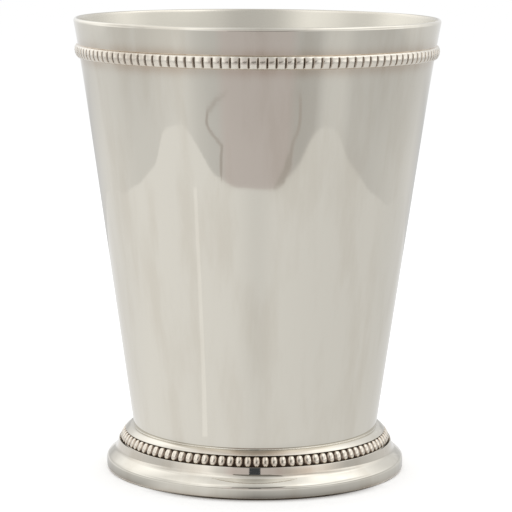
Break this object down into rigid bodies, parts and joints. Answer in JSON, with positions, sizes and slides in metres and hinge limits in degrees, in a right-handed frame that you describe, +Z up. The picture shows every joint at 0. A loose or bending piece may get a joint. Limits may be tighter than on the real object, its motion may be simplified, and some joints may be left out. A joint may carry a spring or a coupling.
{
  "type": "julep cup",
  "caption": "Tapered silver-plated drinking cup with a rounded lip, a beaded band below the rim and a flared hollow foot trimmed with the same beading; holds an iced drink.",
  "frame": {"origin": "centre of the foot's resting face, on the cup's axis", "axes": "+Z up along the cup's axis, towards its mouth; the cup is round, so X and Y are free"},
  "size_m": [0.0868, 0.0868, 0.108],
  "materials": {
    "silver_plate": "polished",
    "beaded_silver": "gloss",
    "silver_solder": "satin"
  },
  "bodies": {
    "root": {"cup_wall": "silver_plate", "cup_floor": "silver_plate", "lip_wire": "silver_plate", "foot_ring": "silver_plate", "rim_bead_band": "beaded_silver", "foot_bead_band": "beaded_silver", "rim_band_solder": "silver_solder", "foot_solder": "silver_solder", "floor_solder": "silver_solder"}
  },
  "joints": []
}
